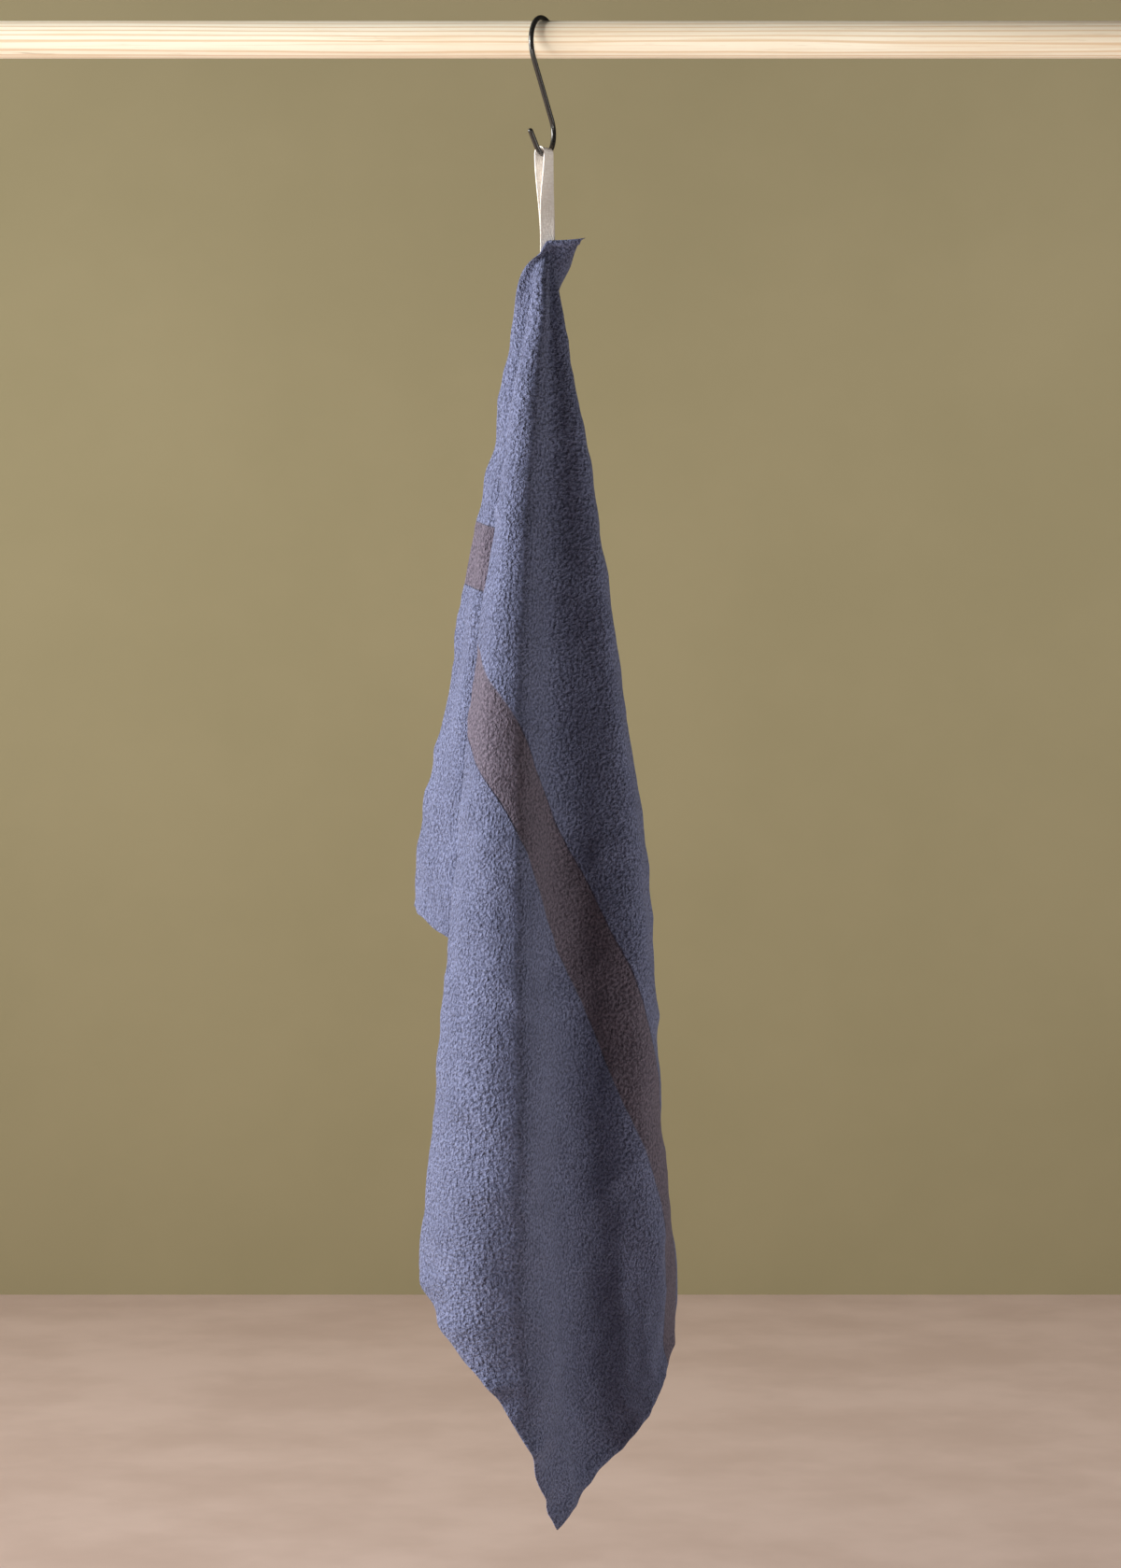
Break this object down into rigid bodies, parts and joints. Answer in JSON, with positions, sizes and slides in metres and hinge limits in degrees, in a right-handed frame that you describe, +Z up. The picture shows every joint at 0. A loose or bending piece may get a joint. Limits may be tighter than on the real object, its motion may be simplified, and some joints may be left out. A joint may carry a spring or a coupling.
{
  "type": "tea towel with hook and rail",
  "caption": "Washed linen tea towel hung by a tape loop near one corner from a bent wire S-hook on a round wooden rail, falling in soft uneven folds to a low corner.",
  "frame": {"origin": "on the rail's axis, midway along it", "axes": "+X along the rail to the viewer's right, +Y away from the viewer, +Z up"},
  "size_m": [0.84, 0.2031, 1.0275],
  "materials": {
    "wood": "pale bare softwood with fine grain",
    "black_wire": "black satin steel wire",
    "white_tape": "off-white woven tape",
    "blue_linen": "washed slate-blue linen with one brown-grey woven band"
  },
  "bodies": {
    "root": {"rail": "wood", "hook": "black_wire", "hanging_loop": "white_tape", "towel": "blue_linen"}
  },
  "joints": []
}
